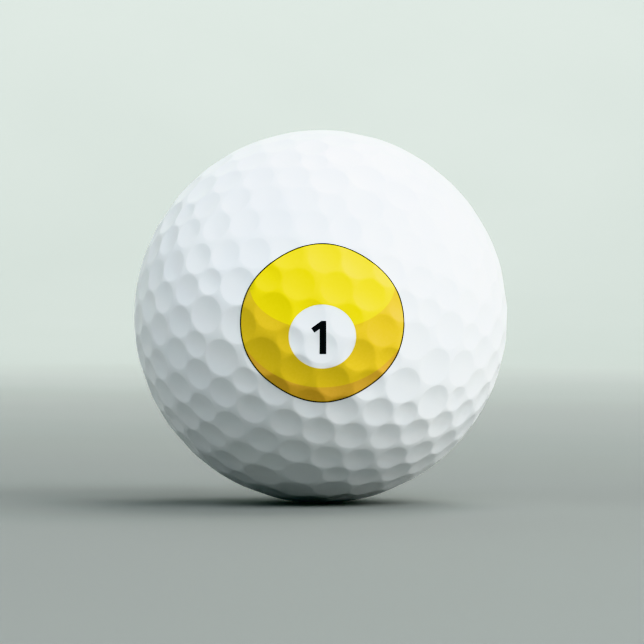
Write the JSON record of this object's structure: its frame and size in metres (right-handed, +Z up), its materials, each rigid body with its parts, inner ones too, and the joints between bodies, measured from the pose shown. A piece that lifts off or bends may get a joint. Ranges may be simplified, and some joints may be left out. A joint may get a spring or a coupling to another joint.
{
  "type": "golf ball",
  "caption": "White dimpled golf ball with a round yellow printed mark and a play number, built as a rubber core, a stiff mantle and a thin cover.",
  "frame": {"origin": "centre of the ball", "axes": "+Z up as the ball is set down with its play number upright; the print faces -Y; +X to the right of the print"},
  "size_m": [0.0426, 0.0427, 0.0426],
  "materials": {
    "core_rubber": "matt moulded rubber",
    "mantle_ionomer": "satin moulded ionomer",
    "cover_white": "white cover under a clear gloss coat",
    "ink_light_yellow": "printed ink under a clear gloss coat",
    "ink_yellow": "printed ink under a clear gloss coat",
    "ink_amber": "printed ink under a clear gloss coat",
    "ink_black": "printed ink under a clear gloss coat"
  },
  "bodies": {
    "root": {"core": "core_rubber", "mantle": "mantle_ionomer", "cover": "cover_white", "print_keyline": "ink_black", "print_highlight": "ink_light_yellow", "print_shade": "ink_amber", "print_field": "ink_yellow", "print_numeral": "ink_black"}
  },
  "joints": []
}
